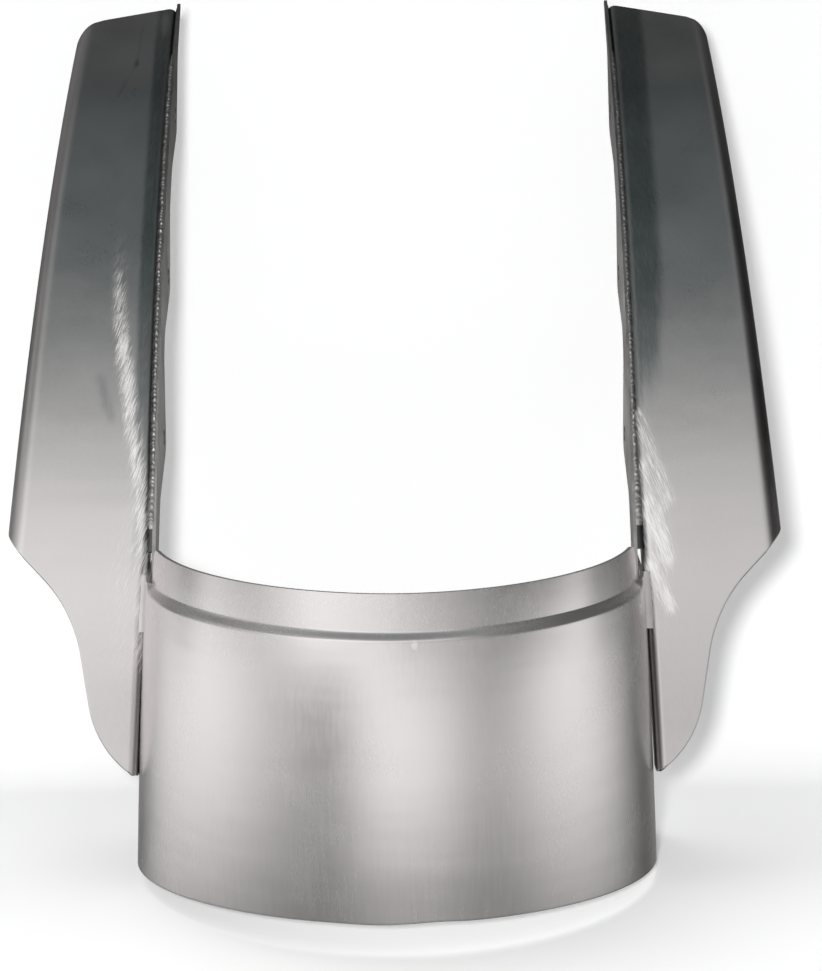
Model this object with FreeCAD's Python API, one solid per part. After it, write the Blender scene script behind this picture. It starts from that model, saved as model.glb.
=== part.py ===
import FreeCAD, Part
import math
import os

# Rear fender extension of a touring motorcycle, one welded piece of bare sheet steel.
# Millimetres. X across the motorcycle, Y forward, Z up. The wheel axle is the datum
# while the shapes are drawn, and the finished set is moved to its own frame at the end.

SHEET = 1.5

# Centre shell: the channel that carries on the line of the fender below its rear edge.
SHELL_ARC_RADIUS = 355.0
SHELL_SECTION_DEPTH = 101.8
SHELL_SECTION_POWER = 1.876
SHELL_HALF_WIDTH_AT_AXLE = 104.9
SHELL_FLARE = 0.0461
SHELL_SIDE_LENGTH = 46.0
SHELL_BOTTOM_HEIGHT = -29.0
SHELL_BOTTOM_TILT = 4.65
SHELL_TOP_HEIGHT = 83.0
SHELL_TOP_TILT = 1.1
SHELL_CORNER_RADIUS = 12.0

# Lip: the recessed upper edge that slides inside the fender.
LIP_TOP_HEIGHT = 96.5
LIP_RECESS = 2.2
LIP_JOGGLE_HEIGHT = 3.2
LIP_ROOT = 0.6
LIP_ROOT_INSET = 0.06
LIP_END_TO_SIDE = 15.0
LIP_CORNER_RADIUS = 8.0

# Side panels: the two ears that fill the space between fender and saddlebags.
PANEL_ARC_RADIUS = 471.0
PANEL_ARC_CENTRE_Y = 190.0
PANEL_ARC_CENTRE_Z = -126.0
PANEL_LOW_HEIGHT = -6.0
PANEL_OUTER_BEND = 8.0
PANEL_OUTER_RETURN = 20.0
PANEL_INNER_BEND = 4.0
PANEL_INNER_RETURN = 12.0
PANEL_EDGE_AT_AXLE = 167.1
PANEL_EDGE_TAPER = 0.0785
PANEL_TOP_INNER_HEIGHT = 296.4
PANEL_TOP_SPARE = 4.6
PANEL_TOP_SLOPE = 0.327
PANEL_TOP_CORNER = 8.0
PANEL_SEAM_GAP = 0.8

# Lower outline of a panel, as three straight runs joined by rounded corners.
OUTLINE_CORNER_HEIGHT = 93.5
OUTLINE_CORNER_RADIUS = 4.2
OUTLINE_WAIST_X = 131.4
OUTLINE_WAIST_Z = 66.0
OUTLINE_WAIST_RADIUS = 55.0
OUTLINE_HEEL_X = 121.6
OUTLINE_HEEL_Z = 11.5
OUTLINE_HEEL_RADIUS = 41.0
OUTLINE_END_X = 104.4
OUTLINE_END_Z = 1.0
OUTLINE_OVERSHOOT = 0.3

# Mounting flanges: the flat strips with three bolt tabs each, on the fender sides.
FLANGE_FACE_X = 99.6
FLANGE_SET_BACK = 0.7
FLANGE_LOW_HEIGHT = 62.0
FLANGE_ABOVE_PANEL = 2.2
FLANGE_BASE_WIDTH = 20.8
FLANGE_BASE_TAPER = 0.25
FLANGE_ROOT_ANGLE = 18.0
FLANGE_TIP_ANGLES = (54.0, 65.5)
FLANGE_TIP_WIDTH = 1.6
TAB_ANGLES = (34.8, 44.8, 56.2)
TAB_WIDTHS = (42.0, 36.0, 26.5)
TAB_RADIUS = 9.5
TAB_HALF_SPAN = 4.2
TAB_ROOT_RADIUS = 15.0
BOLT_HOLE_RADIUS = 3.5

# Weld beads.
BEAD_CROWN = 0.45
BEAD_GRIP = 1.1
BEAD_CLIMB = 0.9
BEAD_ROOT_TURN = 162.0
BEAD_RIM_TURN = 110.0
SEAM_WELD_HEIGHTS = (98.0, 270.0)
SIDE_WELD_HEIGHTS = (57.5, 79.0)

REACH = 900.0
TOUCH = 1e-6
SECTION_POINTS = 13
SHELL_STATIONS = 8
PANEL_STATIONS = 22

Vec = FreeCAD.Vector


def spread(low, high, count):
    """Evenly spaced values from low to high, ends included."""
    steps = round(count) - 1
    return [low + (high - low) * i / steps for i in range(steps + 1)]


def ease(value, low, high):
    """Smooth step from zero at low to one at high."""
    share = min(1.0, max(0.0, (value - low) / (high - low)))
    return share * share * (3.0 - 2.0 * share)


def line(start, end):
    return Part.makeLine(start, end)


def spline(points):
    curve = Part.BSplineCurve()
    curve.interpolate(Points=points)
    return curve.toShape()


def arc(start, middle, end):
    return Part.Arc(start, middle, end).toShape()


def rounded_outline(corners):
    """Closed wire through (point, radius) corners of one plane, rounded as far as their sides have room."""
    edges = []
    spots = []
    count = len(corners)
    for i in range(count):
        here, radius = corners[i]
        if radius <= 0.0:
            spots.append((here, None, here))
            continue
        back = corners[i - 1][0] - here
        ahead = corners[(i + 1) % count][0] - here
        half = back.getAngle(ahead) / 2.0
        room = min(back.Length, ahead.Length) / 2.0
        radius = min(radius, room * math.tan(half))
        back.normalize()
        ahead.normalize()
        trim = radius / math.tan(half)
        middle = back + ahead
        middle.normalize()
        crest = here + middle * (radius / math.sin(half) - radius)
        spots.append((here + back * trim, crest, here + ahead * trim))
    for i in range(count):
        entry, crest, leave = spots[i]
        if crest is not None:
            edges.append(arc(entry, crest, leave))
        following = spots[(i + 1) % count][0]
        if leave.distanceToPoint(following) > TOUCH:
            edges.append(line(leave, following))
    return Part.Wire(edges)


def through_depth(corners):
    """Prism along Y of a rounded outline given as (x, z, radius) corners."""
    face = Part.Face(rounded_outline([(Vec(x, -REACH, z), radius) for x, z, radius in corners]))
    return face.extrude(Vec(0.0, 2.0 * REACH, 0.0))


def mirrored(shape):
    return shape.mirror(Vec(0.0, 0.0, 0.0), Vec(1.0, 0.0, 0.0))


# Centre shell

def shell_half_width(height):
    return SHELL_HALF_WIDTH_AT_AXLE - SHELL_FLARE * height


def section_share(u):
    """How far back the section reaches at share u of the half width."""
    left = max(0.0, 1.0 - abs(u) ** SHELL_SECTION_POWER)
    return left ** (1.0 / SHELL_SECTION_POWER)


def shell_point(u, height, tilt, inset):
    """Point of the shell skin on a cross plane that drops forward by tilt degrees."""
    radius = SHELL_ARC_RADIUS - SHELL_SECTION_DEPTH
    radius += (SHELL_SECTION_DEPTH - inset) * section_share(u)
    rear_y = -math.sqrt(SHELL_ARC_RADIUS ** 2 - height ** 2)
    ahead_y = math.cos(math.radians(tilt))
    ahead_z = -math.sin(math.radians(tilt))
    along = rear_y * ahead_y + height * ahead_z
    rest = rear_y ** 2 + height ** 2 - radius ** 2
    travel = -along - math.sqrt(along ** 2 - rest)
    z = height + travel * ahead_z
    x = u * (shell_half_width(z) - inset)
    return Vec(x, rear_y + travel * ahead_y, z)


def section_points(height, tilt, inset, share):
    """Points of the curved back at one height, out to a share of the half width."""
    end = math.asin(share)
    return [shell_point(math.sin(a), height, tilt, inset) for a in spread(-end, end, SECTION_POINTS)]


def side_tip(back_end, tilt):
    """Forward end of a straight side, from where the curved back ends."""
    y = back_end.y + SHELL_SIDE_LENGTH * math.cos(math.radians(tilt))
    z = back_end.z - SHELL_SIDE_LENGTH * math.sin(math.radians(tilt))
    lean = -SHELL_FLARE * (z - back_end.z)
    return Vec(back_end.x + math.copysign(lean, back_end.x), y, z)


def shell_section(height, tilt):
    """Closed wire of the shell sheet at one height, sides included."""
    outer = section_points(height, tilt, 0.0, 1.0)
    inner = section_points(height, tilt, SHEET, 1.0)
    corners = [side_tip(end, tilt) for end in (outer[0], outer[-1], inner[-1], inner[0])]
    inner.reverse()
    return Part.Wire([
        line(corners[0], outer[0]),
        spline(outer),
        line(outer[-1], corners[1]),
        line(corners[1], corners[2]),
        line(corners[2], inner[0]),
        spline(inner),
        line(inner[-1], corners[3]),
        line(corners[3], corners[0]),
    ])


def shell_body():
    wires = []
    for share in spread(0.0, 1.0, SHELL_STATIONS):
        height = SHELL_BOTTOM_HEIGHT + (SHELL_TOP_HEIGHT - SHELL_BOTTOM_HEIGHT) * share
        tilt = SHELL_BOTTOM_TILT + (SHELL_TOP_TILT - SHELL_BOTTOM_TILT) * share
        wires.append(shell_section(height, tilt))
    return Part.makeLoft(wires, True, True)


def lip_share():
    """Share of the width at which the lip ends, short of the straight sides."""
    back = LIP_END_TO_SIDE / SHELL_SECTION_DEPTH
    return (1.0 - back ** SHELL_SECTION_POWER) ** (1.0 / SHELL_SECTION_POWER)


def lip_section(height, outer_inset, inner_inset):
    """Closed wire of the lip at one height, between two insets from the shell skin."""
    outer = section_points(height, SHELL_TOP_TILT, outer_inset, lip_share())
    inner = section_points(height, SHELL_TOP_TILT, inner_inset, lip_share())
    inner.reverse()
    return Part.Wire([
        spline(outer),
        line(outer[-1], inner[0]),
        spline(inner),
        line(inner[-1], outer[0]),
    ])


def lip_band():
    """Joggle and lip, one band that grows out of the top edge of the shell."""
    joggle_top = SHELL_TOP_HEIGHT + LIP_JOGGLE_HEIGHT
    wires = []
    for height in (SHELL_TOP_HEIGHT - LIP_ROOT, SHELL_TOP_HEIGHT):
        wires.append(lip_section(height, LIP_ROOT_INSET, SHEET - LIP_ROOT_INSET))
    for height in (joggle_top, LIP_TOP_HEIGHT):
        wires.append(lip_section(height, LIP_RECESS, LIP_RECESS + SHEET))
    return Part.makeLoft(wires, True, True).cut(lip_corner_tool())


def side_rounding(corner, toward_y, toward_z, radius):
    """Tool that rounds a corner seen from the side, across the full width."""
    centre = corner + Vec(0.0, toward_y * radius, toward_z * radius)
    low_y = min(corner.y, centre.y) - (1.0 if toward_y > 0.0 else 0.0)
    low_z = min(corner.z, centre.z) - (1.0 if toward_z > 0.0 else 0.0)
    block = Part.makeBox(2.0 * REACH, radius + 1.0, radius + 1.0, Vec(-REACH, low_y, low_z))
    rod = Part.makeCylinder(radius, 2.0 * REACH, Vec(-REACH, centre.y, centre.z), Vec(1.0, 0.0, 0.0))
    return block.cut(rod)


def lip_corner_tool():
    corner = shell_point(lip_share(), LIP_TOP_HEIGHT, SHELL_TOP_TILT, LIP_RECESS)
    return side_rounding(corner, -1.0, -1.0, LIP_CORNER_RADIUS)


def shell_corner_tool():
    back_end = shell_point(1.0, SHELL_BOTTOM_HEIGHT, SHELL_BOTTOM_TILT, 0.0)
    corner = side_tip(back_end, SHELL_BOTTOM_TILT)
    return side_rounding(corner, -1.0, 1.0, SHELL_CORNER_RADIUS)


def centre_shell():
    body = shell_body().cut(shell_corner_tool())
    return body.fuse(lip_band())


# Side panels, drawn for the right-hand side

def panel_point(x, depth, angle):
    """Point at a depth below the panel face, at an angle of the panel arc."""
    radius = PANEL_ARC_RADIUS - depth
    y = PANEL_ARC_CENTRE_Y - radius * math.cos(angle)
    z = PANEL_ARC_CENTRE_Z + radius * math.sin(angle)
    return Vec(x, y, z)


def panel_angle(height):
    return math.asin((height - PANEL_ARC_CENTRE_Z) / PANEL_ARC_RADIUS)


def panel_height(angle):
    return PANEL_ARC_CENTRE_Z + PANEL_ARC_RADIUS * math.sin(angle)


def outer_edge(height):
    return PANEL_EDGE_AT_AXLE - PANEL_EDGE_TAPER * height


def inner_edge(height):
    """Just clear of the shell side below, and against the flange above."""
    return max(FLANGE_FACE_X, shell_half_width(height) + PANEL_SEAM_GAP)


def panel_angles():
    """Angles at which the panel sections stand: at the ends of the beads, and evenly between."""
    low = panel_angle(PANEL_LOW_HEIGHT)
    high = panel_angle(PANEL_TOP_INNER_HEIGHT + PANEL_TOP_SPARE)
    room = (high - low) / PANEL_STATIONS / 3.0
    ends = [panel_angle(height) for height in SEAM_WELD_HEIGHTS + SIDE_WELD_HEIGHTS]
    even = spread(low, high, PANEL_STATIONS)
    return sorted(ends + [angle for angle in even if min(abs(angle - end) for end in ends) > room])


def bend_point(centre_x, radius, lead, degrees, angle):
    """Point of a round edge, at degrees about a centre that lies a lead below the face."""
    turn = math.radians(degrees)
    return panel_point(centre_x + radius * math.cos(turn), lead - radius * math.sin(turn), angle)


def bend(centre_x, radius, lead, start, end, angle):
    """Round edge of a panel section, from a start to an end in degrees."""
    stops = (start, (start + end) / 2.0, end)
    return arc(*[bend_point(centre_x, radius, lead, stop, angle) for stop in stops])


def panel_section(angle):
    """Closed wire of the panel sheet across the panel, with both long edges turned forward."""
    inner_x = inner_edge(panel_height(angle))
    outer_x = outer_edge(panel_height(angle))
    inner_c = inner_x + PANEL_INNER_BEND
    outer_c = outer_x - PANEL_OUTER_BEND

    def run(start_x, start_depth, end_x, end_depth):
        return line(panel_point(start_x, start_depth, angle), panel_point(end_x, end_depth, angle))

    return Part.Wire([
        run(inner_x, PANEL_INNER_RETURN, inner_x, PANEL_INNER_BEND),
        bend(inner_c, PANEL_INNER_BEND, PANEL_INNER_BEND, 180.0, 90.0, angle),
        run(inner_c, 0.0, outer_c, 0.0),
        bend(outer_c, PANEL_OUTER_BEND, PANEL_OUTER_BEND, 90.0, 0.0, angle),
        run(outer_x, PANEL_OUTER_BEND, outer_x, PANEL_OUTER_RETURN),
        run(outer_x, PANEL_OUTER_RETURN, outer_x - SHEET, PANEL_OUTER_RETURN),
        run(outer_x - SHEET, PANEL_OUTER_RETURN, outer_x - SHEET, PANEL_OUTER_BEND),
        bend(outer_c, PANEL_OUTER_BEND - SHEET, PANEL_OUTER_BEND, 0.0, 90.0, angle),
        run(outer_c, SHEET, inner_c, SHEET),
        bend(inner_c, PANEL_INNER_BEND - SHEET, PANEL_INNER_BEND, 90.0, 180.0, angle),
        run(inner_x + SHEET, PANEL_INNER_BEND, inner_x + SHEET, PANEL_INNER_RETURN),
        run(inner_x + SHEET, PANEL_INNER_RETURN, inner_x, PANEL_INNER_RETURN),
    ])


def lower_outline_tool():
    """Everything outside the S-shaped lower outline of a panel."""
    corner_x = outer_edge(OUTLINE_CORNER_HEIGHT) + OUTLINE_OVERSHOOT
    start_z = OUTLINE_CORNER_HEIGHT + 4.0 * OUTLINE_CORNER_RADIUS
    start_x = outer_edge(start_z) + OUTLINE_OVERSHOOT
    slope = (OUTLINE_HEEL_Z - OUTLINE_END_Z) / (OUTLINE_HEEL_X - OUTLINE_END_X)
    past = SHELL_SIDE_LENGTH
    corner_r = OUTLINE_CORNER_RADIUS + OUTLINE_OVERSHOOT
    return through_depth([
        (start_x, start_z, 0.0),
        (corner_x, OUTLINE_CORNER_HEIGHT, corner_r),
        (OUTLINE_WAIST_X, OUTLINE_WAIST_Z, OUTLINE_WAIST_RADIUS),
        (OUTLINE_HEEL_X, OUTLINE_HEEL_Z, OUTLINE_HEEL_RADIUS),
        (OUTLINE_END_X - past, OUTLINE_END_Z - past * slope, 0.0),
        (2.0 * corner_x, -REACH, 0.0),
        (2.0 * corner_x, start_z, 0.0),
    ])


def upper_outline_tool():
    """Everything above the sloping top edge, drawn flat and then leaned onto the panel."""
    angle = panel_angle(PANEL_TOP_INNER_HEIGHT)
    past = PANEL_INNER_RETURN
    edge_x = outer_edge(PANEL_TOP_INNER_HEIGHT) + OUTLINE_OVERSHOOT
    drop = PANEL_TOP_SLOPE * (edge_x - FLANGE_FACE_X)
    end = drop + 4.0 * PANEL_TOP_CORNER
    lean = PANEL_EDGE_TAPER * math.cos(angle)
    tool = through_depth([
        (FLANGE_FACE_X - past, PANEL_TOP_SLOPE * past, 0.0),
        (edge_x + lean * drop, -drop, PANEL_TOP_CORNER),
        (edge_x + lean * end, -end, 0.0),
        (2.0 * edge_x, -end, 0.0),
        (2.0 * edge_x, REACH, 0.0),
        (FLANGE_FACE_X - past, REACH, 0.0),
    ])
    tool.rotate(Vec(0.0, 0.0, 0.0), Vec(1.0, 0.0, 0.0), -math.degrees(angle))
    tool.translate(panel_point(0.0, 0.0, angle))
    return tool


def right_panel():
    sheet = Part.makeLoft([panel_section(angle) for angle in panel_angles()], True, True)
    return sheet.cut(lower_outline_tool()).cut(upper_outline_tool())


# Mounting flanges, drawn for the right-hand side

def flange_width(degrees):
    """Width of the strip between its tabs, at an angle of the panel arc."""
    base = FLANGE_BASE_WIDTH - FLANGE_BASE_TAPER * (degrees - TAB_ANGLES[0])
    base *= ease(degrees, FLANGE_ROOT_ANGLE, TAB_ANGLES[0]) * (1.0 - ease(degrees, *FLANGE_TIP_ANGLES))
    return base + FLANGE_TIP_WIDTH


def flange_point(width, degrees):
    return panel_point(FLANGE_FACE_X, FLANGE_SET_BACK + width, math.radians(degrees))


def flange_end():
    """Angle of the upper end of a flange, in degrees."""
    return math.degrees(panel_angle(PANEL_TOP_INNER_HEIGHT + FLANGE_ABOVE_PANEL))


def bolt_spots():
    """Bolt hole centres of one flange, low to high."""
    return [flange_point(width - TAB_RADIUS, angle) for angle, width in zip(TAB_ANGLES, TAB_WIDTHS)]


def tab_corners(angle, width):
    """Rounded corners of one tab from its high side to its low side, round about its bolt hole."""
    hole = width - TAB_RADIUS
    rise = hole - flange_width(angle)
    span = math.radians(TAB_HALF_SPAN) * (PANEL_ARC_RADIUS - hole)
    slope = math.atan2(rise, span) + math.asin(TAB_RADIUS / math.hypot(span, rise))
    corners = []
    for stop in (angle + TAB_HALF_SPAN, angle - TAB_HALF_SPAN):
        corners.append((flange_point(flange_width(stop), stop), TAB_ROOT_RADIUS))
    corners.insert(1, (flange_point(hole + TAB_RADIUS / math.cos(slope), angle), TAB_RADIUS))
    return corners


def right_flange():
    low = panel_angle(FLANGE_LOW_HEIGHT)
    high = math.radians(flange_end())
    stops = [low] + [angle for angle in panel_angles() if low < angle < high] + [high]
    corners = [(flange_point(0.0, math.degrees(angle)), 0.0) for angle in stops]
    corners.append((flange_point(FLANGE_TIP_WIDTH, flange_end()), 0.0))
    for angle, width in reversed(list(zip(TAB_ANGLES, TAB_WIDTHS))):
        corners += tab_corners(angle, width)
    corners.append((flange_point(flange_width(math.degrees(low)), math.degrees(low)), 0.0))
    plate = Part.Face(rounded_outline(corners)).extrude(Vec(-SHEET, 0.0, 0.0))
    for spot in bolt_spots():
        start = spot + Vec(SHEET, 0.0, 0.0)
        drill = Part.makeCylinder(BOLT_HOLE_RADIUS, 3.0 * SHEET, start, Vec(-1.0, 0.0, 0.0))
        plate = plate.cut(drill)
    return plate


# Weld beads, drawn for the right-hand side

def bead_through(section, heights):
    """Ruled bead through its sections at the panel sections between two heights."""
    low, high = [panel_angle(height) for height in heights]
    angles = [angle for angle in panel_angles() if low <= angle <= high]
    return Part.makeLoft([section(angle) for angle in angles], True, True)


def crowned(angle, foot, start, corner):
    """Closed wire of a bead: round crown, the panel bend under it, and straight feet."""
    centre_x = inner_edge(panel_height(angle)) + PANEL_INNER_BEND
    stops = (BEAD_RIM_TURN, (BEAD_RIM_TURN + BEAD_ROOT_TURN) / 2.0, BEAD_ROOT_TURN)
    rim, middle, root = [bend_point(centre_x, PANEL_INNER_BEND, PANEL_INNER_BEND, stop, angle) for stop in stops]
    over = (start + rim) / 2.0
    over += (panel_point(0.0, -BEAD_CROWN, angle) - panel_point(0.0, 0.0, angle))
    edges = [arc(start, over, rim), arc(rim, middle, root), line(root, foot)]
    feet = [foot] + corner + [start]
    for i in range(len(feet) - 1):
        edges.append(line(feet[i], feet[i + 1]))
    return Part.Wire(edges)


def root_depth():
    return PANEL_INNER_BEND - PANEL_INNER_BEND * math.sin(math.radians(BEAD_ROOT_TURN))


def seam_section(angle):
    """Seam bead: over the rear edge of the flange and onto the bend of the panel."""
    foot = panel_point(FLANGE_FACE_X, root_depth(), angle)
    edge = panel_point(FLANGE_FACE_X, FLANGE_SET_BACK, angle)
    grip = panel_point(FLANGE_FACE_X - BEAD_GRIP, FLANGE_SET_BACK, angle)
    start = panel_point(FLANGE_FACE_X - BEAD_GRIP, 0.0, angle)
    return crowned(angle, foot, start, [edge, grip])


def wall_point(depth, angle):
    """Point on the outside of the shell side, at a depth below the panel face."""
    spot = panel_point(0.0, depth, angle)
    return Vec(shell_half_width(spot.z), spot.y, spot.z)


def side_section(angle):
    """Side bead: from the shell side onto the bend of the panel."""
    return crowned(angle, wall_point(root_depth(), angle), wall_point(-BEAD_CLIMB, angle), [])


def build_all():
    """Every node by name, still on the wheel axle datum."""
    nodes = {"centre_shell": centre_shell()}
    for name, shape in (
        ("side_panel", right_panel()),
        ("mounting_flange", right_flange()),
        ("seam_weld", bead_through(seam_section, SEAM_WELD_HEIGHTS)),
        ("side_weld", bead_through(side_section, SIDE_WELD_HEIGHTS)),
    ):
        nodes["right_" + name] = shape
        nodes["left_" + name] = mirrored(shape)
    return nodes


def own_frame(nodes):
    """Shift that puts the origin at the bottom centre of the whole part."""
    box = FreeCAD.BoundBox()
    for shape in nodes.values():
        box.add(shape.optimalBoundingBox(False))
    return Vec(0.0, -(box.YMin + box.YMax) / 2.0, -box.ZMin)


def main():
    os.makedirs("parts", exist_ok=True)
    nodes = build_all()
    shift = own_frame(nodes)
    for name, shape in nodes.items():
        shape.translate(shift)
        shape.exportStep("parts/" + name + ".step")


main()
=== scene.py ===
import math

import bmesh
import bpy
import numpy as np
from mathutils import Matrix, Vector


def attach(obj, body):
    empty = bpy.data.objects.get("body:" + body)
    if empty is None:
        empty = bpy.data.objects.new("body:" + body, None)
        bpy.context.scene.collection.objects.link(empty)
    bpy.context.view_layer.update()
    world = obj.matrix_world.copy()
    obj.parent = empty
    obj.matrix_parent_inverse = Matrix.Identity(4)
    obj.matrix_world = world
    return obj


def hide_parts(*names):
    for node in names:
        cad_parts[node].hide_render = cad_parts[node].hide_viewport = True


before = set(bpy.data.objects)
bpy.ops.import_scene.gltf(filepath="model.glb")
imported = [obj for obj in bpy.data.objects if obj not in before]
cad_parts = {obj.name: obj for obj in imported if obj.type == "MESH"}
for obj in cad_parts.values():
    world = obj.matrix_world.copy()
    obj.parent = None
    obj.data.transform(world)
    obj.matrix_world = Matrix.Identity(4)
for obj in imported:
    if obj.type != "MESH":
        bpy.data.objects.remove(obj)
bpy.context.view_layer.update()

# Shapes are drawn in millimetres about the wheel axle, and become metres in the part's own frame when a mesh
# is made. X runs to the right of the motorcycle, Y forward, Z up. Materials and the studio are in metres.

MM = 0.001
AXLE = np.array([0.0, 183.922, 40.481])
QUARTER = math.pi / 2.0
LEFT = -1.0
RIGHT = 1.0
SHEET = 1.5
EDGE_ROUND = 0.5
MERGE = 2e-6
NEEDLE = 1e-7

# Centre shell
ARC = 355.0
DEPTH = 101.8
POWER = 1.876
HALF_WIDTH = 104.9
FLARE = 0.0461
SIDE = 46.0
SHELL_LOW = -29.0
SHELL_TOP = 83.0
LOW_TILT = 4.65
TOP_TILT = 1.1
SHELL_CORNER = 12.0

# Slight waves of the shell's lower edge: how high each is, its centre across and its width
LOW_EDGE_WAVES = ((0.5, 16.0, 9.0), (-0.35, -8.0, 10.0))

# Lip, and the joggle by which it steps in. The joggle fades over the last stretch of the lip, an angle.
LIP_TOP = 96.5
LIP_RECESS = 2.2
LIP_BACK = 15.0
LIP_CORNER = 8.0
LIP_LEAST = 0.5
LIP_FADE = 0.03
JOGGLE_START = 79.4
JOGGLE_RISE = 3.7
JOGGLE_TOP = JOGGLE_START + JOGGLE_RISE

# Columns and rows of the shell and the lip. Rows are shares of the shell's height, closest at the lower edge
# and over the joggle.
LIP_COLUMNS = 181
CORNER_COLUMNS = 12
SIDE_COLUMNS = 40
EDGE_ROWS = (0.0, 0.001, 0.002, 0.0032, 0.0046)
BODY_FROM = 0.01
BODY_ROWS = 60
BAND_FROM = 0.88
BAND_ROWS = 30
STEP_ROWS = 9
LIP_ROWS = 12

# Side panels
PANEL_ARC = 471.0
PANEL_CENTRE = (190.0, -126.0)
PANEL_TOP = 296.4
OUTER_BEND = 8.0
OUTER_RETURN = 20.0
INNER_BEND = 4.0
INNER_RETURN = 12.0
EDGE_AT_AXLE = 167.1
EDGE_TAPER = 0.0785
FACE_X = 99.6
SEAM_GAPS = {LEFT: 0.15, RIGHT: 0.8}
TOP_SLOPE = 0.327
TOP_CORNERS = {LEFT: 12.0, RIGHT: 9.0}
LEAN_FROM = 190.0
LEAN_TRIES = 3
OVERSHOOT = 0.3

# Corners of a panel's lower outline: x, z and the radius that rounds each
LOWER_CORNERS = (
    (58.4, -27.1, 0.0),
    (121.6, 11.5, 41.0),
    (131.4, 66.0, 55.0),
    (160.06, 93.5, 4.5),
    (158.7, 112.0, 0.0),
)
CORNER_POINTS = 24

# Rows of a panel: the height at which each stretch starts, and its count of rows
PANEL_ROWS = ((2.6, 100), (84.0, 70), (112.0, 130), (284.0, 34))
FOLD_COLUMNS = 22
FACE_COLUMNS = 96
CURL_COLUMNS = (0.6, 0.35, 0.15, 0.0)
TRACE_REACH = 112.0
TRACE_STEPS = 1400
FAR = 1000.0

# Weld beads: the stretch of each, and that of the rough part of the seam, ground flush past its ends
SEAM_WELD = (88.0, 296.2)
SEAM_ROUGH = (100.0, 276.0)
SEAM_CROWN = 0.4
SEAM_STEPS = 900
SIDE_WELD = (57.5, 79.0)
SIDE_ROUGHNESS = 0.15
SIDE_CROWN = 0.3
SIDE_STEPS = 160
TIP_RISE = 2.0
TIP_REACH = 9.0
BEAD_COLUMNS = 11
ROOT_DEPTH = 2.6
ROOT_RIGHT = 0.25
ROOT_LEFT = 0.05

# Ripples of a bead along its length: pitches, and how far each one lifts or sways the metal
RIPPLE_PITCH = 2.3
RIPPLE_LIFT = 0.3
RIPPLE_BOW = 0.9
LUMP_PITCH = 5.9
LUMP_LIFT = 0.22
WANDER_PITCH = 13.0
WANDER = 0.14
TREMBLE_PITCH = 2.9
TREMBLE = 0.08
BLOB_PITCH = 7.1
PHASE_DRIFTS = ((2.6, 6.1), (2.1, 2.9), (1.3, 1.3))


def smooth(value, low, high):
    """Smooth step of an array: 0 at low, 1 at high, and 3t^2 - 2t^3 between."""
    t = np.clip((value - low) / (high - low), 0.0, 1.0)
    return t * t * (3.0 - 2.0 * t)


def bell(value, centre, width):
    """Bell curve: exp(-((value - centre) / width)^2)."""
    return np.exp(-(((value - centre) / width) ** 2))


def round_off(distance, radius):
    """How far a round corner falls short of square at distance d from its end: r - sqrt(r^2 - (r - d)^2)."""
    inside = np.clip(radius - distance, 0.0, radius)
    return radius - np.sqrt(radius ** 2 - inside ** 2)


# Meshes

def strip(grid):
    """Faces of a (rows, columns, 3) grid of points: each cell gives one quad."""
    rows, cols = grid.shape[:2]
    cell = np.arange(rows * cols).reshape(rows, cols)
    quads = np.stack([cell[:-1, :-1], cell[:-1, 1:], cell[1:, 1:], cell[1:, :-1]], axis=-1)
    return grid.reshape(-1, 3), quads.reshape(-1, 4)


def sheet_grids(outer, inner, gap=(0, 0)):
    """Both skins of a sheet and its rim on all four borders. gap is a run of top columns that get no rim."""
    first, last = gap
    grids = [outer, inner, np.stack([outer[0], inner[0]]), np.stack([outer[:, 0], inner[:, 0]])]
    grids.append(np.stack([outer[:, -1], inner[:, -1]]))
    top = np.stack([outer[-1], inner[-1]])
    if last > first:
        grids += [top[:, :first + 1], top[:, last:]]
    else:
        grids.append(top)
    return grids


def put_in_scene(name, data):
    """An object at the origin that holds a mesh, a lamp or a camera."""
    thing = bpy.data.objects.new(name, data)
    bpy.context.scene.collection.objects.link(thing)
    return thing


def solid_piece(name, grids, crease=35.0):
    """One mesh from grids that share their borders: doubles merged, faces outward, smooth but for creases."""
    points = []
    faces = []
    count = 0
    for grid in grids:
        spots, quads = strip(grid)
        points.append(spots)
        faces.append(quads + count)
        count += len(spots)
    place = (np.concatenate(points) + AXLE) * MM
    mesh = bpy.data.meshes.new(name)
    mesh.from_pydata(place.tolist(), [], np.concatenate(faces).tolist())
    work = bmesh.new()
    work.from_mesh(mesh)
    bmesh.ops.remove_doubles(work, verts=work.verts, dist=MERGE)
    bmesh.ops.dissolve_degenerate(work, edges=work.edges, dist=NEEDLE)
    bmesh.ops.recalc_face_normals(work, faces=work.faces)
    work.to_mesh(mesh)
    work.free()
    mesh.shade_smooth()
    mesh.set_sharp_from_angle(angle=math.radians(crease))
    return put_in_scene(name, mesh)


def place_of(piece):
    """Vertex places of a piece, back in millimetres about the wheel axle."""
    flat = np.empty(len(piece.data.vertices) * 3)
    piece.data.vertices.foreach_get("co", flat)
    return flat.reshape(-1, 3) / MM - AXLE


def set_mask(piece, name, values):
    """A number for each vertex, which a material reads by name."""
    layer = piece.data.attributes.new(name, "FLOAT", "POINT")
    layer.data.foreach_set("value", np.asarray(values, dtype=np.float32))


def set_map(piece, across, along):
    """UV map in decimetres: across and along the sheet."""
    mesh = piece.data
    corner = np.empty(len(mesh.loops), dtype=np.int64)
    mesh.loops.foreach_get("vertex_index", corner)
    pair = np.stack([across, along], axis=1)[corner] / 100.0
    mesh.uv_layers.new(name="sheet").data.foreach_set("uv", pair.astype(np.float32).ravel())


# Centre shell

def half_width(z):
    """Half the shell's width at a height: it narrows evenly upward."""
    return HALF_WIDTH - FLARE * z


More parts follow.
